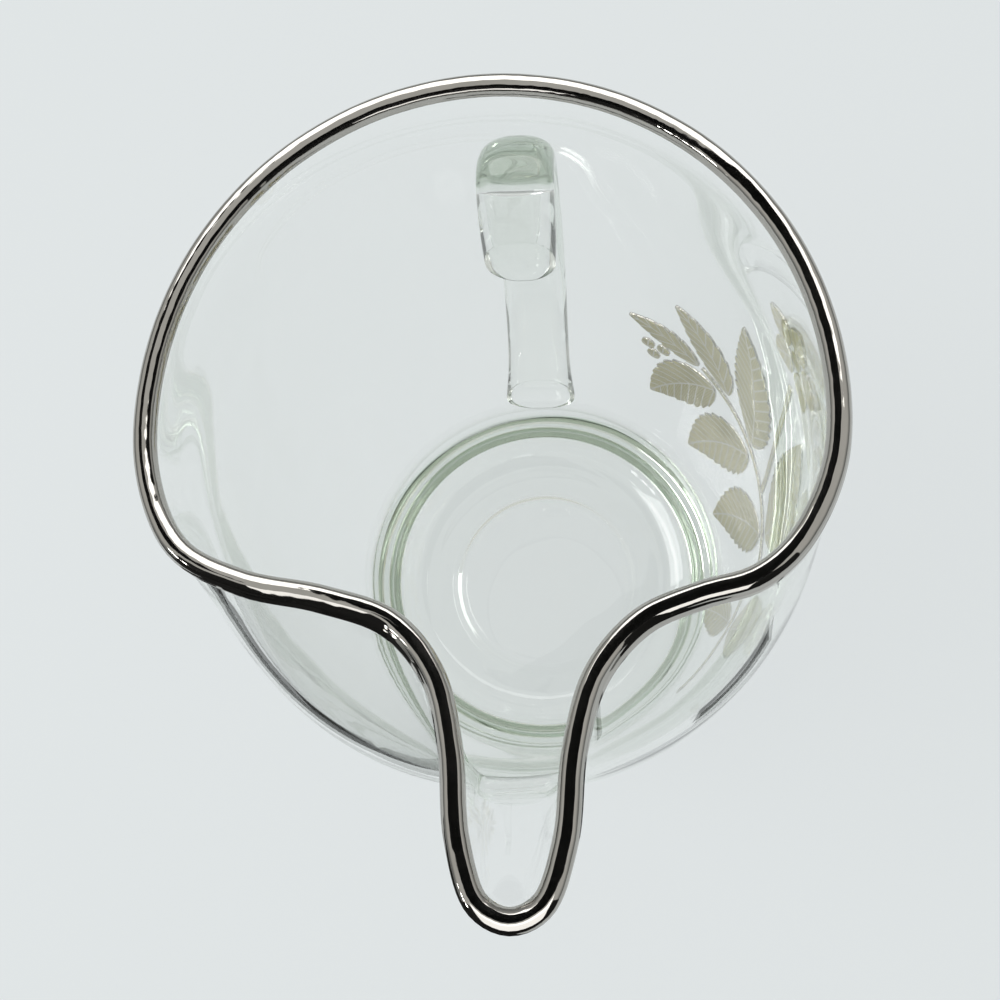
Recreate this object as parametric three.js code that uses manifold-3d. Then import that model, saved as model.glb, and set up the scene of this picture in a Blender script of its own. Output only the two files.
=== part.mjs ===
import * as THREE from "three";
import Module from "manifold-3d";

const wasm = await Module();
wasm.setup();

// Glass body: a blown barrel on a heavy base, standing on z = 0 with its axis vertical.
const height = 205;
const wall = 2.8;
const bellyRadius = 70.5;
const bellyHeight = 122;
const baseRadius = 52.5;
const baseTaper = 2.2;
const baseCorner = 12;
const footInner = 33;
const recessDepth = 2.4;
const recessEdge = 3.5;
const floorHeight = 13;
const floorDish = 1.5;
const floorRadius = 38;
const wallFoot = 30;

// Rim: an oval bead, folded inward at two shoulders on either side of a long pouring lip (-Y).
const rimRadius = 64;
const rimOval = 1.035;
const beadDiameter = 3;
const foldDepth = 52;
const foldPower = 2;
const shoulderDrop = 5;
const shoulderHalf = 34;
const shoulderReach = 35.4;
const cornerHalf = 56;
const cornerReach = 26.5;
const throatHalf = 14.5;
const throatReach = 49;
const lipHalf = 9.2;
const lipReach = 89.6;
const lipRise = 2;
const lipOffset = 6;

// Handle: a flat strap of glass with rounded edges; each end lies on the wall like a thumb (+Y).
// Its section is an oval at a squareness of 2 and comes nearer to a rectangle above that.
const handleHalf = 10.5;
const handleSquareness = 3.2;
const handleThick = 12;
const handleReach = 106.5;
const handleBulgeHeight = 102;
const upperRootHeight = 108;
const upperRootHalf = 9;
const archRise = 29.5;
const lowerRootHeight = 26;
const lowerRootHalf = 13;
const rootLength = 9;
const rootLift = 5;
const rootSink = 1.5;
const rootNose = 11;
const rootFlare = 14;

// Silver: a band over the rim and a spray of leaves on the +X wall, each resting on the glass.
const seat = 0.3;
const silver = 0.35;
const bandSkirt = 1.7;
const sprayLength = 135;
const sprayGap = 31;
const stemHalf = 1.15;
const leafGap = 1.2;
const leafTipHalf = 0.3;
const petalLength = 10.7;
const petalHalf = 4.6;
const centreRadius = 2.6;
const berryRadius = 2.3;

// Fineness of the surfaces.
const columns = 76;
const frontDensity = 0.35;
const handleSteps = 40;
const handleSides = 14;
const endDensity = 0.5;

const { lerp, clamp, degToRad } = THREE.MathUtils;

// The middle of the footprint is the origin, so the axis stands a little toward the spout.
const tipReach = lipReach + beadDiameter / 2 + seat + silver;
const axisY = (tipReach - handleReach) / 2;

// Surfaces are made of rings of points that run round the axis, joined one to the next.
function skin(rings, startPole, endPole, closed) {
  const n = rings[0].length;
  const points = rings.flat();
  const index = [];
  const pairs = closed ? rings.length : rings.length - 1;
  for (let k = 0; k < pairs; k++) {
    const a = k * n;
    const b = ((k + 1) % rings.length) * n;
    for (let i = 0; i < n; i++) {
      const j = (i + 1) % n;
      index.push(a + i, a + j, b + j, a + i, b + j, b + i);
    }
  }
  const last = (rings.length - 1) * n;
  for (let i = 0; i < n && startPole; i++) {
    const j = (i + 1) % n;
    index.push(points.length, j, i, points.length + 1, last + i, last + j);
  }
  if (startPole) points.push(startPole, endPole);
  return solidFrom(points, index);
}

function solidFrom(points, index) {
  const geometry = new THREE.BufferGeometry().setFromPoints(points);
  let volume = 0;
  for (let k = 0; k < index.length; k += 3) {
    const [a, b, c] = [points[index[k]], points[index[k + 1]], points[index[k + 2]]];
    volume += a.dot(b.clone().cross(c));
  }
  geometry.setIndex(volume < 0 ? index.slice().reverse() : index);
  return geometry;
}

function toManifold(geometry) {
  const position = geometry.getAttribute("position");
  const mesh = new wasm.Mesh({
    numProp: 3,
    vertProperties: new Float32Array(position.array),
    triVerts: new Uint32Array(geometry.index.array),
  });
  return new wasm.Manifold(mesh);
}

function fromManifold(solid) {
  const mesh = solid.getMesh();
  const geometry = new THREE.BufferGeometry();
  geometry.setAttribute("position", new THREE.BufferAttribute(new Float32Array(mesh.vertProperties), 3));
  geometry.setIndex(Array.from(mesh.triVerts));
  return geometry;
}

// Outer radius of the round body at a height.
function bodyRadius(z) {
  if (z < bellyHeight) {
    const down = (bellyHeight - z) / bellyHeight;
    return bellyRadius - (bellyRadius - baseRadius) * down ** baseTaper;
  }
  const up = (z - bellyHeight) / (height - bellyHeight);
  return bellyRadius - (bellyRadius - rimRadius - wall / 2) * up ** 2;
}

function ovalRadius(angle) {
  return (rimRadius * rimOval) / Math.hypot(rimOval * Math.cos(angle), Math.sin(angle));
}

// Plan of the rim as half widths and reaches from the axis, with how far each follows the offset lip.
const lipSide = lipReach - 1.36 * lipHalf;
const frontPlan = [
  [0.6 * lipHalf, lipReach - 0.28 * lipHalf, 1],
  [lipHalf, lipSide, 1],
  [lerp(lipHalf, throatHalf, 0.3), lerp(lipSide, throatReach, 0.54), 1],
  [throatHalf, throatReach, 1],
  [lerp(throatHalf, shoulderHalf, 0.41), lerp(throatReach, shoulderReach, 0.68), 1],
  [shoulderHalf, shoulderReach, 0.8],
  [lerp(shoulderHalf, cornerHalf, 0.55), lerp(shoulderReach, cornerReach, 0.3), 0.4],
  [cornerHalf, cornerReach, 0],
];

function frontPoints(side) {
  return frontPlan.map(([half, reach, follow]) => {
    return new THREE.Vector3(side * half + follow * lipOffset, -reach, 0);
  });
}

const ovalPoints = [];
for (let degrees = -10; degrees <= 190; degrees += 20) {
  const angle = degToRad(degrees);
  const radius = ovalRadius(angle);
  ovalPoints.push(new THREE.Vector3(radius * Math.cos(angle), radius * Math.sin(angle), 0));
}
const rimCurve = new THREE.CatmullRomCurve3(
  [
    new THREE.Vector3(lipOffset, -lipReach, 0),
    ...frontPoints(1),
    ...ovalPoints,
    ...frontPoints(-1).reverse(),
  ],
  true,
);

// Height and polar place of the rim bead's centre, closer together round the lip.
const rim = [];
for (let i = 0; i < columns; i++) {
  const t = i / columns;
  const point = rimCurve.getPointAt(t - (frontDensity * Math.sin(2 * Math.PI * t)) / (2 * Math.PI));
  const angle = Math.atan2(point.y, point.x);
  const radius = Math.hypot(point.x, point.y);
  const out = radius - ovalRadius(angle);
  const drop = (shoulderDrop * out) / (rimRadius - shoulderReach);
  const lift = (lipRise * out) / (lipReach - rimRadius);
  rim.push({ angle, radius, z: height - beadDiameter / 2 + (out < 0 ? drop : lift) });
}

// Middle of the wall, as rows from the heavy base up to the rim.
function middleRow(level, fold) {
  return rim.map(({ angle, radius, z }) => {
    const rowZ = lerp(level, z, fold);
    const rowRadius = lerp(bodyRadius(rowZ) - wall / 2, radius, fold ** foldPower);
    return new THREE.Vector3(rowRadius * Math.cos(angle), rowRadius * Math.sin(angle), rowZ);
  });
}

const foldLevel = height - foldDepth;
const middle = [0, 0.15, 0.34, 0.55, 0.78].map((share) => middleRow(lerp(wallFoot, foldLevel, share), 0));
for (const fold of [0, 0.18, 0.36, 0.52, 0.67, 0.8, 0.91, 1]) {
  middle.push(middleRow(foldLevel, fold));
}
const top = middle.length - 1;

function frameAt(row, i) {
  const n = columns;
  const round = middle[row][(i + 1) % n].clone().sub(middle[row][(i + n - 1) % n]).normalize();
  const upper = middle[Math.min(row + 1, top)][i];
  const lower = middle[Math.max(row - 1, 0)][i];
  const out = round.clone().cross(upper.clone().sub(lower)).normalize();
  return { out, up: out.clone().cross(round).normalize() };
}

function offsetRow(row, outward, upward) {
  return middle[row].map((point, i) => {
    const { out, up } = frameAt(row, i);
    return point.clone().addScaledVector(out, outward).addScaledVector(up, upward);
  });
}

function ring(radius, z) {
  return rim.map(({ angle }) => new THREE.Vector3(radius * Math.cos(angle), radius * Math.sin(angle), z));
}

// Section of the body below the wall rows: recess, foot, rounded corner and lower wall.
const cornerTop = bodyRadius(baseCorner);
const underside = [
  ring(footInner - recessEdge, recessDepth),
  ring(footInner, 0),
  ring(cornerTop - baseCorner, 0),
];
for (const degrees of [30, 60, 90]) {
  const angle = degToRad(degrees);
  const inset = baseCorner * (1 - Math.sin(angle));
  underside.push(ring(cornerTop - inset, baseCorner * (1 - Math.cos(angle))));
}
underside.push(ring(bodyRadius(wallFoot / 2), wallFoot / 2));

// Inside, a wide curve from the wall to a gently dished floor.
const wallRows = [...middle.keys()].slice(0, -1);
const innerFoot = bodyRadius(wallFoot) - wall;
const floorCurve = new THREE.QuadraticBezierCurve(
  new THREE.Vector2(innerFoot, wallFoot),
  new THREE.Vector2(bodyRadius(floorHeight) - 2 * wall, floorHeight),
  new THREE.Vector2(floorRadius, floorHeight),
);
const floor = [0.3, 0.55, 0.78, 1].map((t) => {
  const point = floorCurve.getPoint(t);
  return ring(point.x, point.y);
});
floor.push(ring(floorRadius / 2, floorHeight - 0.75 * floorDish));

// The bead starts and ends where its circle meets the two faces of the wall.
const beadRadius = beadDiameter / 2;
const beadStart = -Math.acos(wall / beadDiameter);
const beadTurn = Math.PI - 2 * beadStart;
const bead = [0, 0.2, 0.4, 0.6, 0.8, 1].map((share) => {
  const angle = beadStart + share * beadTurn;
  return offsetRow(top, beadRadius * Math.cos(angle), beadRadius * Math.sin(angle));
});

const bodyGeometry = skin(
  [
    ...underside,
    ...wallRows.map((row) => offsetRow(row, wall / 2, 0)),
    ...bead,
    ...wallRows.reverse().map((row) => offsetRow(row, -wall / 2, 0)),
    ...floor,
  ],
  new THREE.Vector3(0, 0, recessDepth),
  new THREE.Vector3(0, 0, floorHeight - floorDish),
);

// The handle is cut to the curve of the wall, with the seat left between the two.
const seatGeometry = skin(
  [ring(bodyRadius(0) + seat, 0), ring(bodyRadius(wallFoot / 2) + seat, wallFoot / 2)].concat(
    [...middle.keys()].map((row) => offsetRow(row, wall / 2 + seat, 0)),
  ),
  new THREE.Vector3(0, 0, 0),
  new THREE.Vector3(0, 0, height),
);

const handleMiddle = handleReach - handleThick / 2;
const upperWall = bodyRadius(upperRootHeight + rootLength);
const lowerWall = bodyRadius(lowerRootHeight + rootLength);
const archHeight = upperRootHeight + archRise;
const upperLeave = upperRootHeight + 2.3 * rootLength;
const lowerLeave = lowerRootHeight + rootLength;

function strapPoint(reach, z) {
  return new THREE.Vector3(0, reach, z);
}

const handleCurve = new THREE.CatmullRomCurve3([
  strapPoint(upperWall - rootSink, upperRootHeight),
  strapPoint(upperWall - rootSink, upperRootHeight + rootLength),
  strapPoint(upperWall + rootLift, upperLeave),
  strapPoint(lerp(upperWall, handleMiddle, 0.46), archHeight),
  strapPoint(lerp(upperWall, handleMiddle, 0.8), lerp(archHeight, handleBulgeHeight, 0.2)),
  strapPoint(handleMiddle, handleBulgeHeight),
  strapPoint(lerp(lowerWall, handleMiddle, 0.82), lerp(lowerLeave, handleBulgeHeight, 0.45)),
  strapPoint(lerp(lowerWall, handleMiddle, 0.4), lerp(lowerLeave, handleBulgeHeight, 0.17)),
  strapPoint(lowerWall, lowerLeave),
  strapPoint(bodyRadius(lowerRootHeight) - rootSink, lowerRootHeight),
]);
const handleLength = handleCurve.getLength();
const handleRings = [];

function squared(turn) {
  return Math.sign(turn) * Math.abs(turn) ** (2 / handleSquareness);
}

// The share of its full size that the strap has at a distance from its end.
function noseShare(distance) {
  const short = 1 - Math.min(1, distance / rootNose);
  return Math.max(0.05, Math.sqrt(1 - short ** 2));
}

for (let k = 0; k <= handleSteps; k++) {
  const t = k / handleSteps;
  const share = t - (endDensity * Math.sin(2 * Math.PI * t)) / (2 * Math.PI);
  const centre = handleCurve.getPointAt(share);
  const along = handleCurve.getTangentAt(share);
  const outward = new THREE.Vector3(1, 0, 0).cross(along).normalize();
  const fromUpper = share * handleLength;
  const fromLower = (1 - share) * handleLength;
  const upper = Math.exp(-((fromUpper / rootFlare) ** 2));
  const lower = Math.exp(-((fromLower / rootFlare) ** 2));
  const spread = upper * (upperRootHalf - handleHalf) + lower * (lowerRootHalf - handleHalf);
  const nose = noseShare(Math.min(fromUpper, fromLower));
  const half = nose * (handleHalf + spread);
  const thick = nose * handleThick;
  const sides = [];
  for (let i = 0; i < handleSides; i++) {
    const angle = (2 * Math.PI * i) / handleSides;
    const across = centre.clone().addScaledVector(outward, (thick / 2) * squared(Math.sin(angle)));
    sides.push(across.setX(half * squared(Math.cos(angle))));
  }
  handleRings.push(sides);
}
const handleBlank = skin(handleRings, handleCurve.getPointAt(0), handleCurve.getPointAt(1));
const handleGeometry = fromManifold(toManifold(handleBlank).subtract(toManifold(seatGeometry)));

// The band follows the bead over the top and runs a short way down the outside.
const bandInner = beadRadius + seat;
const bandOuter = bandInner + silver;
const bandEnd = degToRad(205);
const bandArc = [0, 0.25, 0.5, 0.75, 1].map((share) => share * bandEnd);

function bandRow(radius, angle) {
  return offsetRow(top, radius * Math.cos(angle), radius * Math.sin(angle));
}

const bandRings = [
  offsetRow(top, bandOuter, -bandSkirt),
  ...bandArc.map((angle) => bandRow(bandOuter, angle)),
  ...bandArc.reverse().map((angle) => bandRow(bandInner, angle)),
  offsetRow(top, bandInner, -bandSkirt),
];
const bandGeometry = skin(bandRings, null, null, true);

// Silver islands are drawn flat, then wrapped on the wall. Across, they are placed from the tip of the
// end leaf, which stands clear of the handle; upward, from the lower edge of the fold.
function onWall(flat, lift) {
  const angle = Math.PI / 2 - (sprayGap - flat.x) / bellyRadius;
  const z = foldLevel + flat.y;
  const fold = Math.max(0, flat.y) / (foldDepth - beadRadius);
  const middleRadius = lerp(bodyRadius(z) - wall / 2, ovalRadius(angle), fold ** foldPower);
  const radius = middleRadius + wall / 2 + lift;
  return new THREE.Vector3(radius * Math.cos(angle), radius * Math.sin(angle), z);
}

function island(rows) {
  const across = rows[0].length;
  const flat = rows.flat();
  const points = [...flat.map((p) => onWall(p, seat + silver)), ...flat.map((p) => onWall(p, seat))];
  const under = flat.length;
  const index = [];
  const quad = (a, b, c, d) => index.push(a, b, c, a, c, d);
  for (let i = 0; i + 1 < rows.length; i++) {
    for (let j = 0; j + 1 < across; j++) {
      const a = i * across + j;
      quad(a, a + 1, a + across + 1, a + across);
      quad(under + a, under + a + across, under + a + across + 1, under + a + 1);
    }
    const left = i * across;
    const right = left + across - 1;
    quad(left, left + across, under + left + across, under + left);
    quad(right, under + right, under + right + across, right + across);
  }
  const end = flat.length - across;
  for (let j = 0; j + 1 < across; j++) {
    quad(j, under + j, under + j + 1, j + 1);
    quad(end + j, end + j + 1, under + end + j + 1, under + end + j);
  }
  return solidFrom(points, index);
}

// A blade runs along a curve with a half width that changes from end to end.
function blade(curve, steps, halfAt) {
  const rows = [];
  for (let k = 0; k <= steps; k++) {
    const share = k / steps;
    const centre = curve.getPoint(share);
    const along = curve.getTangent(share);
    const across = new THREE.Vector2(-along.y, along.x);
    const half = halfAt(share);
    rows.push([1, 0.5, 0, -0.5, -1].map((side) => centre.clone().addScaledVector(across, side * half)));
  }
  return island(rows);
}

function leaf(start, degrees, length, half, bend) {
  const along = new THREE.Vector2(Math.cos(degToRad(degrees)), Math.sin(degToRad(degrees)));
  const across = new THREE.Vector2(-along.y, along.x);
  const tip = start.clone().addScaledVector(along, length);
  const belly = start.clone().lerp(tip, 0.5).addScaledVector(across, bend * length);
  const curve = new THREE.QuadraticBezierCurve(start, belly, tip);
  return blade(curve, 8, (share) => leafTipHalf + half * Math.sin(Math.PI * share ** 0.8) ** 0.9);
}

function disc(centre, radius) {
  const rows = [];
  for (const level of [-0.92, -0.5, 0, 0.5, 0.92]) {
    const half = radius * Math.sqrt(1 - level ** 2);
    const y = centre.y + level * radius;
    rows.push([1, 0, -1].map((side) => new THREE.Vector2(centre.x + side * half, y)));
  }
  return island(rows);
}

const part = new THREE.Group();
const glass = { color: 0xe3ebe5, roughness: 0.03, metalness: 0, transparent: true, opacity: 0.35 };
const polished = { color: 0xd6d5d0, roughness: 0.12, metalness: 1 };

function addNode(name, geometry, finish) {
  geometry.translate(0, axisY, 0);
  const mesh = new THREE.Mesh(geometry, new THREE.MeshStandardMaterial(finish));
  mesh.name = name;
  part.add(mesh);
}

addNode("glass_body", bodyGeometry, glass);
addNode("handle", handleGeometry, glass);
addNode("silver_rim", bandGeometry, polished);

// The spray is drawn in hundredths of its length from the stem's foot to the tip of the end leaf.
function ofSpray(hundredths) {
  return (hundredths * sprayLength) / 100;
}

function sprayPoint(x, y) {
  return new THREE.Vector2(ofSpray(x), ofSpray(y));
}

const stemEnd = sprayPoint(-20, -43.7);
const stemCurve = new THREE.SplineCurve([
  sprayPoint(-100, -77.8),
  sprayPoint(-80.7, -66.7),
  sprayPoint(-60, -56.3),
  sprayPoint(-39.3, -48.1),
  stemEnd,
]);
addNode("stem", blade(stemCurve, 22, (share) => stemHalf * (1.2 - 0.5 * share)), polished);
const stalkCurve = new THREE.SplineCurve([
  sprayPoint(-49.6, -52.1).add(new THREE.Vector2(0, stemHalf + leafGap)),
  sprayPoint(-45.9, -30.4),
  sprayPoint(-43.3, -2.2),
]);
addNode("blossom_stalk", blade(stalkCurve, 8, () => 0.8 * stemHalf), polished);

// The end leaf carries the stem on; the others grow from both sides of it.
const endLeaf = stemEnd.clone().add(new THREE.Vector2(leafGap, 0));
addNode("leaf_1", leaf(endLeaf, 11, -endLeaf.x, ofSpray(4.1), -0.06), polished);

function sprayLeaf(x, y, slant, length, half, bend) {
  return leaf(sprayPoint(x, y), slant, ofSpray(length), ofSpray(half), bend);
}

addNode("leaf_2", sprayLeaf(-28.5, -42.6, 44, 24.6, 5.4, 0.07), polished);
addNode("leaf_3", sprayLeaf(-39.9, -46, 71, 38.8, 7.1, 0.06), polished);
addNode("leaf_4", sprayLeaf(-59.3, -52.6, 82, 46.4, 8.6, 0.05), polished);
addNode("leaf_5", sprayLeaf(-79.3, -62.6, 91, 41.1, 8.6, 0.05), polished);
addNode("leaf_6", sprayLeaf(-24.8, -47.3, -55, 28.1, 7.2, 0.08), polished);
addNode("leaf_7", sprayLeaf(-40.7, -51.7, -60, 32.7, 8, 0.08), polished);
addNode("leaf_8", sprayLeaf(-57.8, -58.1, -65, 33.8, 8, 0.07), polished);
addNode("leaf_9", sprayLeaf(-76.3, -67.6, -74, 32.2, 8, 0.06), polished);

// The blossom has open petals round a plain centre.
const blossom = sprayPoint(-43, 10.4);
const petals = 5;
for (let k = 0; k < petals; k++) {
  const degrees = 90 + (360 * k) / petals;
  const along = new THREE.Vector2(1, 0).rotateAround(new THREE.Vector2(), degToRad(degrees));
  const inner = blossom.clone().addScaledVector(along, centreRadius + leafGap);
  addNode(`petal_${k + 1}`, leaf(inner, degrees, petalLength, petalHalf, 0), polished);
}
addNode("blossom_centre", disc(blossom, centreRadius), polished);
const berries = [sprayPoint(-9.6, -49.2), sprayPoint(-5.6, -49.6), sprayPoint(-7.4, -53.2)];
berries.forEach((centre, k) => addNode(`berry_${k + 1}`, disc(centre, berryRadius), polished));

export default part;
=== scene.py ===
from bisect import bisect_left
from functools import lru_cache
from itertools import accumulate
from math import acos, atan2, copysign, cos, degrees, exp, hypot, pi, radians, sin, sqrt

import bpy
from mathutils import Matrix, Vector
from mathutils.geometry import interpolate_bezier


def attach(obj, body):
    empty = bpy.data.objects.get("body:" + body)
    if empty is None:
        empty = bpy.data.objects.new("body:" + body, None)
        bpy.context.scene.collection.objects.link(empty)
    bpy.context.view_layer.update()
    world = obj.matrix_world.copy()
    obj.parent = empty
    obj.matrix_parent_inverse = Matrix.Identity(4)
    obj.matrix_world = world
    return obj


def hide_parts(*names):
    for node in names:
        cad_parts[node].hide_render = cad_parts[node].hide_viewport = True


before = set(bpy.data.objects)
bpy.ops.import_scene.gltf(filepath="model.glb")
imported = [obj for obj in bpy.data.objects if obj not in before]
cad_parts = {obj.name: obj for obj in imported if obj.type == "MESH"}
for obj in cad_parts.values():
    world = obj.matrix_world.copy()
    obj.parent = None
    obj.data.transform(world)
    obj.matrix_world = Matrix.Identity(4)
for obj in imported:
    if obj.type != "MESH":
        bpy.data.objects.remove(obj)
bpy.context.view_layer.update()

bpy.ops.object.select_all(action="DESELECT")
bpy.context.scene.view_settings.view_transform = "Standard"
bounces = bpy.context.scene.cycles
bounces.max_bounces = bounces.transmission_bounces = bounces.glossy_bounces = 32

# The body is one blown gather of clear soda-lime glass: a round barrel on a heavy base, hollow
# under the foot. While it was hot the rim was folded in at two shoulders and drawn out to a long
# narrow pouring lip, then fire-polished to a rounded bead.
MM = 0.001
axis_y = -7.375 * MM
wall = 2.8 * MM
belly_radius, belly_height = 70.5 * MM, 122 * MM
base_radius, base_taper, base_corner = 52.5 * MM, 2.2, 12 * MM
foot_inner, recess_depth = 33 * MM, 2.4 * MM
floor_height, floor_dish, floor_radius, wall_foot = 13 * MM, 1.5 * MM, 38 * MM, 30 * MM
rim_height, rim_radius, rim_oval, bead_radius = 205 * MM, 64 * MM, 1.035, 1.5 * MM
bead_level = rim_height - bead_radius
fold_level = 153 * MM
shoulder_half, shoulder_reach, shoulder_drop = 34 * MM, 35.4 * MM, 5 * MM
corner_half, corner_reach = 56 * MM, 26.5 * MM
throat_half, throat_reach = 14.5 * MM, 49 * MM
lip_half, lip_reach, lip_rise, lip_offset = 9.2 * MM, 89.6 * MM, 2 * MM, 6 * MM
columns, lip_crowding, curve_steps = 252, 0.35, 60


def lerp(a, b, share):
    return a + (b - a) * share


def body_radius(z):
    if z < belly_height:
        down = (belly_height - z) / belly_height
        return belly_radius - (belly_radius - base_radius) * down**base_taper
    up = (z - belly_height) / (rim_height - belly_height)
    return belly_radius - (belly_radius - rim_radius - wall / 2) * up**2


def oval_radius(angle):
    return rim_radius * rim_oval / hypot(rim_oval * cos(angle), sin(angle))


def smooth_line(points, closed):
    """A line that passes smoothly through the points, as many closely spaced places on it."""
    if closed:
        ring = [points[-1], *points, points[0], points[1]]
    else:
        ring = [2 * points[0] - points[1], *points, 2 * points[-1] - points[-2]]
    line = []
    for a, b, c, d in zip(ring, ring[1:], ring[2:], ring[3:]):
        u, v, w = ((q - p).length ** 0.5 for p, q in ((a, b), (b, c), (c, d)))
        leave = ((b - a) / u - (c - a) / (u + v) + (c - b) / v) * v / 3
        arrive = ((c - b) / v - (d - b) / (v + w) + (d - c) / w) * v / 3
        line += interpolate_bezier(b, b + leave, c - arrive, c, curve_steps)[:-1]
    return line + [points[0] if closed else points[-1]]


def measured(line):
    """Gives a function for the place at a share of the line's length, and the length."""
    reach = list(accumulate(((q - p).length for p, q in zip(line, line[1:])), initial=0))

    def at(share):
        far = min(max(share, 0), 1) * reach[-1]
        k = min(max(bisect_left(reach, far), 1), len(line) - 1)
        return line[k - 1].lerp(line[k], (far - reach[k - 1]) / (reach[k] - reach[k - 1]))

    return at, reach[-1]


# Plan of the rim: half widths and reaches from the axis, and how far each follows the offset lip.
lip_side = lip_reach - 1.36 * lip_half
front_plan = [
    (0.6 * lip_half, lip_reach - 0.28 * lip_half, 1),
    (lip_half, lip_side, 1),
    (lerp(lip_half, throat_half, 0.3), lerp(lip_side, throat_reach, 0.54), 1),
    (throat_half, throat_reach, 1),
    (lerp(throat_half, shoulder_half, 0.41), lerp(throat_reach, shoulder_reach, 0.68), 1),
    (shoulder_half, shoulder_reach, 0.8),
    (lerp(shoulder_half, corner_half, 0.55), lerp(shoulder_reach, corner_reach, 0.3), 0.4),
    (corner_half, corner_reach, 0),
]
right = [Vector((half + follow * lip_offset, -reach, 0)) for half, reach, follow in front_plan]
left = [Vector((follow * lip_offset - half, -reach, 0)) for half, reach, follow in front_plan]
back = []
for turn in range(-10, 191, 20):
    angle = radians(turn)
    back.append(Vector((cos(angle), sin(angle), 0)) * oval_radius(angle))
lip_tip = Vector((lip_offset, -lip_reach, 0))
rim_at = measured(smooth_line([lip_tip, *right, *back, *reversed(left)], True))[0]

rim = []
for k in range(columns):
    share = k / columns
    place = rim_at(share - lip_crowding * sin(2 * pi * share) / (2 * pi))
    angle, radius = atan2(place.y, place.x), place.length
    out = radius - oval_radius(angle)
    if out < 0:
        rise = shoulder_drop * out / (rim_radius - shoulder_reach)
    else:
        rise = lip_rise * out / (lip_reach - rim_radius)
    rim.append((angle, radius, rise))


@lru_cache(None)
def wall_middle(column, level):
    """Middle of the folded wall, at a column of the rim and a height of the round blank."""
    angle, radius, rise = rim[column % columns]
    fold = max(0, (level - fold_level) / (bead_level - fold_level))
    z = level + rise * fold
    r = lerp(body_radius(z) - wall / 2, radius, fold**2)
    return Vector((r * cos(angle), axis_y + r * sin(angle), z))


@lru_cache(None)
def wall_directions(column, level):
    """Out of the folded wall, and up along it."""
    step = 0.5 * MM
    round_rim = wall_middle(column + 1, level) - wall_middle(column - 1, level)
    climb = wall_middle(column, min(level + step, bead_level)) - wall_middle(column, level - step)
    out = round_rim.cross(climb).normalized()
    return out, out.cross(round_rim).normalized()


def draw_section(name, section):
    """Draws a section, radius and height, as a line of edges from one point, left in edit mode."""
    bpy.ops.object.select_all(action="DESELECT")
    bpy.ops.mesh.primitive_plane_add(size=MM)
    piece = bpy.context.object
    piece.name = piece.data.name = name
    bpy.ops.object.mode_set(mode="EDIT")
    bpy.ops.mesh.merge(type="CENTER")
    bpy.ops.transform.translate(value=(section[0][0], axis_y, section[0][1]))
    for (r, z), (next_r, next_z) in zip(section, section[1:]):
        bpy.ops.mesh.extrude_region_move(
            TRANSFORM_OT_translate={"value": (next_r - r, 0, next_z - z)}
        )
    bpy.ops.mesh.select_all(action="SELECT")
    return piece


def spin_section():
    """Turns the drawn section once round the body's axis and closes the seam and the poles."""
    bpy.ops.mesh.spin(steps=columns, angle=2 * pi, center=(0, axis_y, 0), axis=(0, 0, 1))
    bpy.ops.mesh.select_all(action="SELECT")
    bpy.ops.mesh.remove_doubles(threshold=0.005 * MM)
    bpy.ops.mesh.normals_make_consistent(inside=False)
    bpy.ops.object.mode_set(mode="OBJECT")
    bpy.ops.object.shade_smooth()


def work_rim(piece):
    """Moves a round blank's points to the folded rim. What lies above the rim's middle keeps its
    place round the bead."""
    for v in piece.data.vertices:
        r = hypot(v.co.x, v.co.y - axis_y)
        turn = atan2(v.co.y - axis_y, v.co.x) / (2 * pi)
        column = round(columns * (turn + 0.25)) % columns
        if v.co.z <= fold_level:
            angle = rim[column][0]
            v.co.x, v.co.y = r * cos(angle), axis_y + r * sin(angle)
            continue
        level = min(v.co.z, bead_level)
        out, up = wall_directions(column, round(level, 7))
        from_middle = r - (body_radius(level) - wall / 2)
        place = wall_middle(column, round(level, 7))
        v.co = place + out * from_middle + up * (v.co.z - level)


def arc(centre, radius, start, end, steps):
    turns = [radians(lerp(start, end, k / steps)) for k in range(steps + 1)]
    return [(centre[0] + radius * cos(a), centre[1] + radius * sin(a)) for a in turns]


def bow(start, pull, end, steps):
    """A bowed line from start to end that leaves and arrives toward the pull point."""
    shares = [k / steps for k in range(1, steps + 1)]
    return [
        tuple(lerp(lerp(a, b, s), lerp(b, c, s), s) for a, b, c in zip(start, pull, end))
        for s in shares
    ]


# The section runs from the middle of the underside round the outside to the rim, and down inside.
barrel_steps, fold_steps, floor_steps = 48, 40, 12
recess_edge, recess_bend, foot_bend = 5 * MM, 1.7 * MM, 1.6 * MM
corner_radius = body_radius(base_corner)
wall_levels = [lerp(base_corner, fold_level, k / barrel_steps) for k in range(1, barrel_steps + 1)]
wall_levels += [lerp(fold_level, bead_level, k / fold_steps) for k in range(1, fold_steps)]
inner_foot = (body_radius(wall_foot) - wall, wall_foot)
recess_middle = (foot_inner - recess_bend, recess_depth / 2)
section = [(r, recess_depth) for r in (0, foot_inner / 2, foot_inner - recess_edge)]
section += bow(section[-1], (foot_inner - 2 * recess_bend, recess_depth), recess_middle, 6)
section += bow(recess_middle, (foot_inner, 0), (foot_inner + foot_bend, 0), 6)
section += arc((corner_radius - base_corner, base_corner), base_corner, -90, 0, 16)
section += [(body_radius(z), z) for z in wall_levels]
bead_dip = degrees(acos(wall / 2 / bead_radius))
bead_middle = (rim_radius, bead_level)
section += arc(bead_middle, bead_radius, -bead_dip, 180 + bead_dip, 18)
section += [(body_radius(z) - wall, z) for z in reversed(wall_levels) if z > wall_foot]
section += [inner_foot]
heel = (body_radius(floor_height) - 2 * wall, floor_height)
section += bow(inner_foot, heel, (floor_radius, floor_height), 22)
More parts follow.
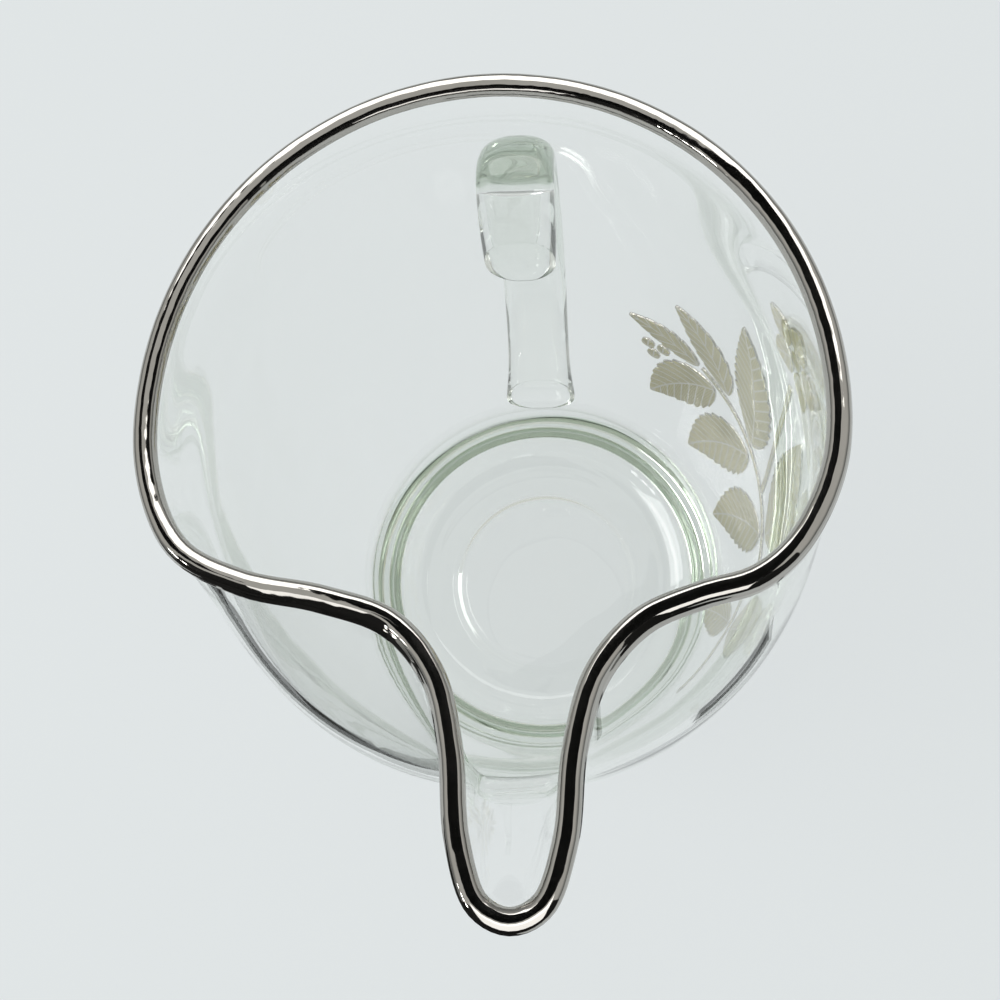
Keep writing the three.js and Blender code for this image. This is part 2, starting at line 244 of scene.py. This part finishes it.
for k in range(floor_steps - 1, -1, -1):
    r = floor_radius * k / floor_steps
    section.append((r, floor_height - floor_dish * (1 - (r / floor_radius) ** 2)))

glass_body = draw_section("blown_body", section)
spin_section()
work_rim(glass_body)


def linear(hex_colour):
    channels = [int(hex_colour[k : k + 2], 16) / 255 for k in (1, 3, 5)]
    return [c / 12.92 if c <= 0.04045 else ((c + 0.055) / 1.055) ** 2.4 for c in channels] + [1]


def node(tree, kind, links=None, **settings):
    """Adds a node. Links and plain values go to its inputs by name or number, settings to the
    node itself."""
    made = tree.nodes.new(kind)
    for key, value in settings.items():
        setattr(made, key, value)
    for key, value in (links or {}).items():
        socket = made.inputs[key]
        if isinstance(value, bpy.types.NodeSocket):
            tree.links.new(value, socket)
        else:
            socket.default_value = value
    return made


def new_material(name):
    material = bpy.data.materials.new(name)
    material.use_nodes = True
    material.node_tree.nodes.clear()
    return material, material.node_tree


# Blown soda-lime glass: clear, with the faint green of iron where it is thick, and a slow ripple
# left by blowing that bends what is seen through the wall.
glass, tree = new_material("blown_soda_lime_glass")
place = node(tree, "ShaderNodeTexCoord").outputs["Object"]
ripple = node(tree, "ShaderNodeTexNoise", {"Vector": place, "Scale": 1 / (26 * MM), "Detail": 1.0})
swell = node(
    tree, "ShaderNodeBump", {"Height": ripple.outputs[0], "Strength": 0.018, "Distance": 4 * MM}
)
surface = node(
    tree,
    "ShaderNodeBsdfPrincipled",
    {
        "Base Color": linear("#ffffff"),
        "Roughness": 0.0,
        "IOR": 1.5,
        "Transmission Weight": 1.0,
        "Normal": swell.outputs[0],
    },
)
tint = node(tree, "ShaderNodeVolumeAbsorption", {"Color": linear("#c6d5c2"), "Density": 12.0})
node(
    tree,
    "ShaderNodeOutputMaterial",
    {"Surface": surface.outputs[0], "Volume": tint.outputs[0]},
)

glass_body.data.materials.append(glass)
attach(glass_body, "root")
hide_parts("glass_body")

# The handle is a flat strap of the same glass, pulled from a fresh gather. Its upper end was laid
# on the belly and its lower end pressed on near the foot, and both lie on the wall like thumbs.
strap_half, strap_thick, strap_squareness = 10.5 * MM, 12 * MM, 2.4
strap_reach, bulge_height, arch_rise = 106.5 * MM, 102 * MM, 29.5 * MM
upper_height, upper_half, lower_height, lower_half = 108 * MM, 9 * MM, 26 * MM, 13 * MM
root_length, root_lift, root_sink = 9 * MM, 5 * MM, 1.5 * MM
root_nose, root_flare = 11 * MM, 14 * MM
weld, strap_steps, strap_sides, core_steps = 0.25 * MM, 130, 56, 60
root_crowding, look_ahead, blunt_end = 0.5, 0.003, 0.02

strap_middle, arch_height = strap_reach - strap_thick / 2, upper_height + arch_rise
upper_leave, lower_leave = upper_height + 2.3 * root_length, lower_height + root_length
upper_wall, lower_wall = body_radius(upper_height + root_length), body_radius(lower_leave)
strap_way = [
    (upper_wall - root_sink, upper_height),
    (upper_wall - root_sink, upper_height + root_length),
    (upper_wall + root_lift, upper_leave),
    (lerp(upper_wall, strap_middle, 0.46), arch_height),
    (lerp(upper_wall, strap_middle, 0.8), lerp(arch_height, bulge_height, 0.2)),
    (strap_middle, bulge_height),
    (lerp(lower_wall, strap_middle, 0.82), lerp(lower_leave, bulge_height, 0.45)),
    (lerp(lower_wall, strap_middle, 0.4), lerp(lower_leave, bulge_height, 0.17)),
    (lower_wall, lower_leave),
    (body_radius(lower_height) - root_sink, lower_height),
]
strap_line = smooth_line([Vector((0, axis_y + y, z)) for y, z in strap_way], False)
strap_at, strap_length = measured(strap_line)

bpy.ops.object.select_all(action="DESELECT")
bpy.ops.mesh.primitive_circle_add(vertices=strap_sides, radius=1, fill_type="NGON")
handle = bpy.context.object
handle.name = handle.data.name = "pulled_handle"
bpy.ops.object.mode_set(mode="EDIT")
for k in range(strap_steps):
    bpy.ops.mesh.extrude_region_move(TRANSFORM_OT_translate={"value": (0, 0, 1)})
bpy.ops.object.mode_set(mode="OBJECT")
for v in handle.data.vertices:
    turn = v.co.z / strap_steps
    share = turn - root_crowding * sin(2 * pi * turn) / (2 * pi)
    onward = (strap_at(share + look_ahead) - strap_at(share - look_ahead)).normalized()
    outward = Vector((1, 0, 0)).cross(onward)
    from_upper, from_lower = share * strap_length, (1 - share) * strap_length
    upper, lower = exp(-((from_upper / root_flare) ** 2)), exp(-((from_lower / root_flare) ** 2))
    half = strap_half + upper * (upper_half - strap_half) + lower * (lower_half - strap_half)
    short = 1 - min(1, from_upper / root_nose, from_lower / root_nose)
    nose = max(blunt_end, sqrt(1 - short**2))
    x, y = (copysign(abs(side) ** (2 / strap_squareness), side) for side in v.co.xy)
    v.co = strap_at(share) + outward * nose * y * strap_thick / 2 + Vector((nose * x * half, 0, 0))
bpy.ops.object.mode_set(mode="EDIT")
bpy.ops.mesh.select_all(action="SELECT")
bpy.ops.mesh.normals_make_consistent(inside=False)
bpy.ops.object.mode_set(mode="OBJECT")

# A round core the size of the barrel, less the weld, cuts the sunk ends to the wall.
core_levels = [lerp(0, fold_level, k / core_steps) for k in range(core_steps + 1)]
core_section = [(0, 0), *((body_radius(z) - weld, z) for z in core_levels), (0, fold_level)]
core = draw_section("handle_core", core_section)
spin_section()
bpy.ops.object.select_all(action="DESELECT")
bpy.context.view_layer.objects.active = handle
handle.select_set(True)
cut = handle.modifiers.new("cut_to_wall", "BOOLEAN")
cut.operation, cut.object = "DIFFERENCE", core
bpy.ops.object.modifier_apply(modifier=cut.name)
bpy.data.objects.remove(core)
bpy.ops.object.shade_smooth_by_angle(angle=radians(50))

handle.data.materials.clear()
handle.data.materials.append(glass)
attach(handle, "root")
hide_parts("handle")

# The band is silver deposited on the rim and burnished: it wraps the bead, with a short skirt
# down the outside and a narrow lip inside.
band_gap, band_face, band_skirt = 0.03 * MM, 0.65 * MM, 1.7 * MM
band_end, skirt_steps = 205, 6
face_radius, back_radius = bead_radius + band_face, bead_radius + band_gap
band = arc(bead_middle, face_radius, 0, band_end, 28)
inside = arc(bead_middle, back_radius, band_end, 0, 20)


def beside_wall(out, z):
    return body_radius(z) - wall / 2 + out, z


skirt_levels = [bead_level - band_skirt * k / skirt_steps for k in range(1, skirt_steps + 1)]
band_section = [beside_wall(face_radius, z) for z in reversed(skirt_levels)] + band + inside
band_section += [beside_wall(back_radius, z) for z in skirt_levels]
band_section.append(band_section[0])
silver_rim = draw_section("silver_band", band_section)
spin_section()
work_rim(silver_rim)

# Burnished silver: nearly a mirror, a little warm, with fine rubbing marks and handling haze.
silver, tree = new_material("burnished_silver")
place = node(tree, "ShaderNodeTexCoord").outputs["Object"]
haze = node(tree, "ShaderNodeTexNoise", {"Vector": place, "Scale": 1 / (9 * MM), "Detail": 4.0})
rubs = node(tree, "ShaderNodeTexNoise", {"Vector": place, "Scale": 1 / (0.5 * MM), "Detail": 2.0})
gloss = node(
    tree,
    "ShaderNodeMapRange",
    {"Value": haze.outputs[0], "From Min": 0.3, "From Max": 0.75, "To Min": 0.03, "To Max": 0.11},
)
tone = node(
    tree,
    "ShaderNodeMix",
    {0: haze.outputs[0], "A": linear("#bbb8b3"), "B": linear("#a6a39d")},
    data_type="RGBA",
)
waves = node(tree, "ShaderNodeTexNoise", {"Vector": place, "Scale": 1 / (5 * MM), "Detail": 1.0})
swell = node(
    tree, "ShaderNodeBump", {"Height": waves.outputs[0], "Strength": 1.0, "Distance": 0.2 * MM}
)
marks = node(
    tree,
    "ShaderNodeBump",
    {
        "Height": rubs.outputs[0],
        "Strength": 0.05,
        "Distance": 0.05 * MM,
        "Normal": swell.outputs[0],
    },
)
surface = node(
    tree,
    "ShaderNodeBsdfPrincipled",
    {
        "Base Color": tone.outputs["Result"],
        "Metallic": 1.0,
        "Roughness": gloss.outputs[0],
        "Normal": marks.outputs[0],
    },
)
node(tree, "ShaderNodeOutputMaterial", {"Surface": surface.outputs[0]})

silver_rim.data.materials.append(silver)
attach(silver_rim, "root")
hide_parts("silver_rim")

# The spray is silver deposited on the outside of the right-hand wall: a stem with leaves, a
# blossom and berries, engraved with veins. Through the glass its cream ground is what shows.
spray_length, spray_gap = 135 * MM, 31 * MM
spray_lift, spray_face = 0.04 * MM, 0.65 * MM
stem_half, leaf_gap, leaf_tip_half = 1.15 * MM, 1.2 * MM, 0.3 * MM
petal_length, petal_half, centre_radius, berry_radius = 10.7 * MM, 4.6 * MM, 2.6 * MM, 2.3 * MM
tooth_length, tooth_depth, blade_step = 4.5 * MM, 0.17, 0.004


def of_spray(x, y):
    """A place in the flat drawing, in hundredths of the spray's length from its end leaf's tip
    and from the lower edge of the fold."""
    return Vector((x, y, 0)) * spray_length / 100


def on_wall(flat, lift):
    angle = pi / 2 - (spray_gap - flat.x) / belly_radius
    z = fold_level + flat.y
    fold = max(0, flat.y) / (bead_level - fold_level)
    middle = lerp(body_radius(z) - wall / 2, oval_radius(angle), fold**2)
    radius = middle + wall / 2 + lift
    return Vector((radius * cos(angle), axis_y + radius * sin(angle), z))


def graver_cuts(tree):
    """Cuts of the graver, as a mask: a midrib, side veins and short hatching strokes. The UV map
    of an island runs along it and across it from the midline."""
    flat = node(tree, "ShaderNodeSeparateXYZ", {0: node(tree, "ShaderNodeUVMap").outputs[0]})
    across = node(tree, "ShaderNodeMath", {0: flat.outputs[1]}, operation="ABSOLUTE").outputs[0]
    mask = node(
        tree,
        "ShaderNodeMapRange",
        {
            "Value": across,
            "From Min": 0.2 * MM,
            "From Max": 0.42 * MM,
            "To Min": 1.0,
            "To Max": 0.0,
        },
    ).outputs[0]
    veins, hatching = (4.5 * MM, 1.15, 0.6 * MM, 1.0), (1.7 * MM, 2.1, 0.42 * MM, 0.55)
    for spacing, lean, width, weight in (veins, hatching):
        shift = {0: across, 1: -lean, 2: flat.outputs[0]}
        back = node(tree, "ShaderNodeMath", shift, operation="MULTIPLY_ADD").outputs[0]
        turns = node(tree, "ShaderNodeMath", {0: back, 1: 1 / spacing}, operation="MULTIPLY")
        swing = {0: turns.outputs[0], 1: 0.5}
        half_turn = node(tree, "ShaderNodeMath", swing, operation="PINGPONG")
        line = node(
            tree,
            "ShaderNodeMapRange",
            {
                "Value": half_turn.outputs[0],
                "From Min": 0.3 * width / spacing,
                "From Max": width / spacing,
                "To Min": weight,
                "To Max": 0.0,
            },
        )
        both = node(tree, "ShaderNodeMath", {0: mask, 1: line.outputs[0]}, operation="MAXIMUM")
        mask = both.outputs[0]
    return mask


# Engraved silver outside: the burnished silver dulled by handling, with bright-cut veins whose
# bottoms hold a little tarnish.
engraved, tree = new_material("engraved_silver")
place = node(tree, "ShaderNodeTexCoord").outputs["Object"]
haze = node(tree, "ShaderNodeTexNoise", {"Vector": place, "Scale": 1 / (7 * MM), "Detail": 4.0})
cuts = graver_cuts(tree)
gloss = node(
    tree,
    "ShaderNodeMapRange",
    {"Value": haze.outputs[0], "From Min": 0.3, "From Max": 0.75, "To Min": 0.1, "To Max": 0.26},
)
tone = node(
    tree,
    "ShaderNodeMix",
    {0: cuts, "A": linear("#cfccc4"), "B": linear("#8f8a80")},
    data_type="RGBA",
)
depth = node(
    tree, "ShaderNodeBump", {"Height": cuts, "Strength": 0.6, "Distance": 0.12 * MM}, invert=True
)
surface = node(
    tree,
    "ShaderNodeBsdfPrincipled",
    {
        "Base Color": tone.outputs["Result"],
        "Metallic": 1.0,
        "Roughness": gloss.outputs[0],
        "Normal": depth.outputs[0],
    },
)
node(tree, "ShaderNodeOutputMaterial", {"Surface": surface.outputs[0]})

# Cream ground: the flux that the silver was fired on, seen through the glass. It is mottled from
# olive to ivory, and paler along the graver's cuts.
ground, tree = new_material("cream_ground")
place = node(tree, "ShaderNodeTexCoord").outputs["Object"]
mottle = node(tree, "ShaderNodeTexNoise", {"Vector": place, "Scale": 1 / (16 * MM), "Detail": 3.0})
spread = node(
    tree, "ShaderNodeMapRange", {"Value": mottle.outputs[0], "From Min": 0.35, "From Max": 0.65}
)
tone = node(
    tree,
    "ShaderNodeMix",
    {0: spread.outputs[0], "A": linear("#cabf68"), "B": linear("#eee4a2")},
    data_type="RGBA",
)
cut_tone = node(
    tree,
    "ShaderNodeMix",
    {0: graver_cuts(tree), "A": tone.outputs["Result"], "B": linear("#fffbea")},
    data_type="RGBA",
)
surface = node(
    tree,
    "ShaderNodeBsdfPrincipled",
    {"Base Color": cut_tone.outputs["Result"], "Roughness": 0.45},
)
node(tree, "ShaderNodeOutputMaterial", {"Surface": surface.outputs[0]})


def silver_island(name, along, across, shape, stands_for):
    """A thin island of silver from a sheet of squares. Its shape is a length, and the flat place
    of a point on the sheet, along it from 0 to 1 and across it from -1 to 1."""
    length, place_of = shape
    bpy.ops.object.select_all(action="DESELECT")
    bpy.ops.mesh.primitive_grid_add(x_subdivisions=along, y_subdivisions=across, size=2)
    piece = bpy.context.object
    piece.name = piece.data.name = name
    sheet_uv = []
    for v in piece.data.vertices:
        share, side = (v.co.x + 1) / 2, v.co.y
        flat = place_of(share, side)
        sheet_uv.append((share * length, copysign((flat - place_of(share, 0)).length, side)))
        v.co = on_wall(flat, spray_face)
    uv = piece.data.uv_layers.active.data
    for loop in piece.data.loops:
        uv[loop.index].uv = sheet_uv[loop.vertex_index]
    bpy.ops.object.mode_set(mode="EDIT")
    bpy.ops.mesh.select_all(action="SELECT")
    bpy.ops.mesh.remove_doubles(threshold=0.001 * MM)
    bpy.ops.object.mode_set(mode="OBJECT")
    bpy.ops.object.shade_smooth()
    first = piece.data.polygons[0]
    if first.normal.dot(first.center - Vector((0, axis_y, first.center.z))) < 0:
        piece.data.flip_normals()
    piece.data.materials.append(engraved)
    piece.data.materials.append(ground)
    body = piece.modifiers.new("thickness", "SOLIDIFY")
    body.thickness, body.offset, body.material_offset = spray_face - spray_lift, -1, 1
    bpy.ops.object.modifier_apply(modifier=body.name)
    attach(piece, "root")
    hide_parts(stands_for)


def blade(line, half_at):
    """A blade along a flat line, with a half width that changes from end to end."""
    at, length = measured(line)

    def place_of(share, side):
        onward = (at(share + blade_step) - at(share - blade_step)).normalized()
        return at(share) + Vector((-onward.y, onward.x, 0)) * side * half_at(share)

    return length, place_of


def leaf(start, slant, length, half, bend, depth):
    """A leaf with teeth that lean to its tip."""
    along = Vector((cos(radians(slant)), sin(radians(slant)), 0))
    tip = start + along * length
    pull = start.lerp(tip, 0.5) + Vector((-along.y, along.x, 0)) * bend * length
    ends = start.lerp(pull, 2 / 3), tip.lerp(pull, 2 / 3)
    line = interpolate_bezier(start, *ends, tip, curve_steps)
    teeth = round(length / tooth_length)

    def half_at(share):
        tooth = (share * teeth) % 1
        notch = depth * (1 - tooth**0.5) * min(1, 3 * share)
        return leaf_tip_half + half * sin(pi * share**0.8) ** 0.9 * (1 - notch)

    return blade(line, half_at)


def disc(centre, radius):
    def place_of(share, side):
        rise = 2 * share - 1
        return centre + Vector((side * sqrt(1 - min(1, rise**2)), rise, 0)) * radius

    return 2 * radius, place_of


stem_end = of_spray(-20, -43.7)
stem_places = [(-100, -77.8), (-80.7, -66.7), (-60, -56.3), (-39.3, -48.1)]
stem_line = smooth_line([*(of_spray(*p) for p in stem_places), stem_end], False)
stem = blade(stem_line, lambda share: stem_half * (1.2 - 0.5 * share))
silver_island("spray_stem", 90, 4, stem, "stem")
stalk_foot = of_spray(-49.6, -52.1) + Vector((0, stem_half + leaf_gap, 0))
stalk_line = smooth_line([stalk_foot, of_spray(-45.9, -30.4), of_spray(-43.3, -2.2)], False)
stalk = blade(stalk_line, lambda share: 0.8 * stem_half)
silver_island("spray_stalk", 60, 4, stalk, "blossom_stalk")

end_leaf = stem_end + Vector((leaf_gap, 0, 0))
end_sizes = (11, -end_leaf.x, of_spray(4.1, 0).x, -0.06)
silver_island("spray_leaf_1", 120, 12, leaf(end_leaf, *end_sizes, tooth_depth), "leaf_1")
leaves = [
    (-28.5, -42.6, 44, 24.6, 5.4, 0.07),
    (-39.9, -46, 71, 38.8, 7.1, 0.06),
    (-59.3, -52.6, 82, 46.4, 8.6, 0.05),
    (-79.3, -62.6, 91, 41.1, 8.6, 0.05),
    (-24.8, -47.3, -55, 28.1, 7.2, 0.08),
    (-40.7, -51.7, -60, 32.7, 8, 0.08),
    (-57.8, -58.1, -65, 33.8, 8, 0.07),
    (-76.3, -67.6, -74, 32.2, 8, 0.06),
]
for k, (x, y, slant, length, half, bend) in enumerate(leaves, 2):
    sizes = (slant, of_spray(length, 0).x, of_spray(half, 0).x, bend)
    shape = leaf(of_spray(x, y), *sizes, tooth_depth)
    silver_island(f"spray_leaf_{k}", 120, 12, shape, f"leaf_{k}")

blossom = of_spray(-43, 10.4)
for k in range(5):
    slant = 90 + 72 * k
    way = Vector((cos(radians(slant)), sin(radians(slant)), 0))
    start = blossom + way * (centre_radius + leaf_gap)
    petal = leaf(start, slant, petal_length, petal_half, 0, 0)
    silver_island(f"spray_petal_{k + 1}", 24, 10, petal, f"petal_{k + 1}")
silver_island("spray_centre", 16, 8, disc(blossom, centre_radius), "blossom_centre")
for k, place in enumerate([(-9.6, -49.2), (-5.6, -49.6), (-7.4, -53.2)], 1):
    silver_island(f"spray_berry_{k}", 14, 8, disc(of_spray(*place), berry_radius), f"berry_{k}")

# The pitcher stands on a pale sheet. The sheet is seen at its own pale colour, straight, mirrored
# and through the glass, and still takes the pitcher's soft shadow.
bpy.ops.object.select_all(action="DESELECT")
bpy.ops.mesh.primitive_plane_add(size=1, location=(0, 0, -0.2 * MM))
sheet = bpy.context.object
sheet.name = "pale_sheet"
sheet.scale = (3, 3, 1)
own_light = 0.88
paper, tree = new_material("pale_paper")
path = node(tree, "ShaderNodeLightPath")
straight = node(
    tree,
    "ShaderNodeMath",
    {0: path.outputs["Is Camera Ray"], 1: path.outputs["Is Glossy Ray"]},
    operation="MAXIMUM",
)
seen = node(
    tree,
    "ShaderNodeMath",
    {0: straight.outputs[0], 1: path.outputs["Is Transmission Ray"]},
    operation="MAXIMUM",
)
share = node(tree, "ShaderNodeMath", {0: seen.outputs[0], 1: own_light}, operation="MULTIPLY")
surface = node(
    tree, "ShaderNodeBsdfPrincipled", {"Base Color": linear("#e2e6e7"), "Roughness": 0.8}
)
glow = node(tree, "ShaderNodeEmission", {"Color": linear("#dfe4e5"), "Strength": 1.0})
mixed = node(
    tree, "ShaderNodeMixShader", {0: share.outputs[0], 1: surface.outputs[0], 2: glow.outputs[0]}
)
node(tree, "ShaderNodeOutputMaterial", {"Surface": mixed.outputs[0]})
sheet.data.materials.append(paper)

# Matt black cloth, for the dark surroundings that the silver and the glass mirror.
cloth, tree = new_material("black_cloth")
surface = node(
    tree, "ShaderNodeBsdfPrincipled", {"Base Color": linear("#0c0c0c"), "Roughness": 1.0}
)
node(tree, "ShaderNodeOutputMaterial", {"Surface": surface.outputs[0]})


def black_plane(name, place, turn, size, through_glass):
    """A plane of the cloth that throws no shadow. It is seen only in mirror images and, if asked
    for, through the glass."""
    bpy.ops.mesh.primitive_plane_add(size=1, location=place, rotation=[radians(a) for a in turn])
    plane = bpy.context.object
    plane.name = name
    plane.scale = (*size, 1)
    plane.data.materials.append(cloth)
    plane.visible_camera = plane.visible_diffuse = plane.visible_shadow = False
    plane.visible_transmission = through_glass
    return plane


# A card over the rim, with its rear right corner drawn back, gives the silver its dark stripe.
card = black_plane("black_card", (0.02, -0.0465, 0.26), (0, 0, 0), (0.106, 0.107), False)
card.data.vertices[3].co.y = 1.2

# Strips lie round the front of the sheet. The glass bends them into the dark line along its
# outline.
strips = [
    (217.5, 0.183, 0.044, 0.117),
    (252.5, 0.183, 0.044, 0.117),
    (323.5, 0.148, 0.03, 0.059),
]
for k, (turn, reach, width, length) in enumerate(strips, 1):
    way = Vector((cos(radians(turn)), sin(radians(turn)), 0))
    place = way * reach + Vector((0, axis_y, 0))
    black_plane(f"black_strip_{k}", place, (0, 0, turn), (width, length), True)

# More of it hangs in front of the sheet, lies at its foot on the left and is held up over the left
# of the rim. It darkens the outer side of the silver.
black_plane("black_drape", (0, -0.75, 0.7), (90, 0, 0), (2.4, 1.4), False)
black_plane("black_runner", (-0.58, -0.445, 0.001), (0, 0, 0), (1.24, 0.61), False)
black_plane("black_flag", (-0.21, 0.04, 0.5), (0, 0, 0), (0.2, 0.3), False)

# The room has grey walls and a pale ceiling.
sky = bpy.data.worlds.new("soft_room")
bpy.context.scene.world = sky
sky.use_nodes = True
tree = sky.node_tree
tree.nodes.clear()
toward = node(tree, "ShaderNodeTexCoord").outputs["Generated"]
parts = node(tree, "ShaderNodeSeparateXYZ", {0: toward})
height = node(
    tree, "ShaderNodeMapRange", {"Value": parts.outputs[2], "From Min": 0.02, "From Max": 0.4}
)
wall_tone = node(
    tree,
    "ShaderNodeMix",
    {0: height.outputs[0], "A": linear("#878a89"), "B": linear("#dcdcd9")},
    data_type="RGBA",
)
room = node(tree, "ShaderNodeBackground", {"Color": wall_tone.outputs["Result"], "Strength": 1.0})
node(tree, "ShaderNodeOutputWorld", {"Surface": room.outputs[0]})


# Soft lamps: a wide one at the back and a small one over the lip give the silver its white lines,
# and one at the left lights the spray and the sheet.
aim = Vector((0, 0, 0.1))


def softbox(name, place, size, power, mirrored, through_glass):
    """A lamp aimed at the pitcher. It shows in mirror images or lights matt surfaces, not both."""
    bpy.ops.object.light_add(type="AREA", location=place)
    lamp = bpy.context.object
    lamp.name = name
    lamp.data.shape, lamp.data.size, lamp.data.size_y = "RECTANGLE", *size
    lamp.data.energy = power
    lamp.visible_glossy, lamp.visible_diffuse = mirrored, not mirrored
    lamp.visible_transmission = through_glass
    lamp.rotation_euler = (aim - Vector(place)).to_track_quat("-Z", "Y").to_euler()


softbox("back_softbox", (0, 1.2, 1.3), (2.4, 1.5), 26, True, False)
softbox("left_softbox", (-1.2, -0.1, 1.1), (0.9, 0.9), 12, False, True)
softbox("lip_card", (0.006, -0.185, 0.3), (0.2, 0.15), 0.19, True, False)

# A row of small round lamps at the front left gives white ticks in the silver.
row_start, row_way, row_spacing = Vector((-0.608, -0.311, 0.38)), Vector((0.78, -0.62, 0)), 0.07
for k in range(3):
    bpy.ops.object.light_add(type="POINT", location=row_start + row_way * row_spacing * k)
    lamp = bpy.context.object
    lamp.name = f"round_lamp_{k + 1}"
    lamp.data.energy, lamp.data.shadow_soft_size = 0.5, 0.025

# Camera over the lip side, looking down into the pitcher.
bpy.ops.object.camera_add(
    location=(0.0232, -0.0656 + axis_y, 0.394),
    rotation=(radians(13.863), radians(5.744), radians(0.547)),
)
camera = bpy.context.object
camera.data.lens, camera.data.sensor_width = 39.6, 36
camera.data.clip_start = 0.01
bpy.context.scene.camera = camera
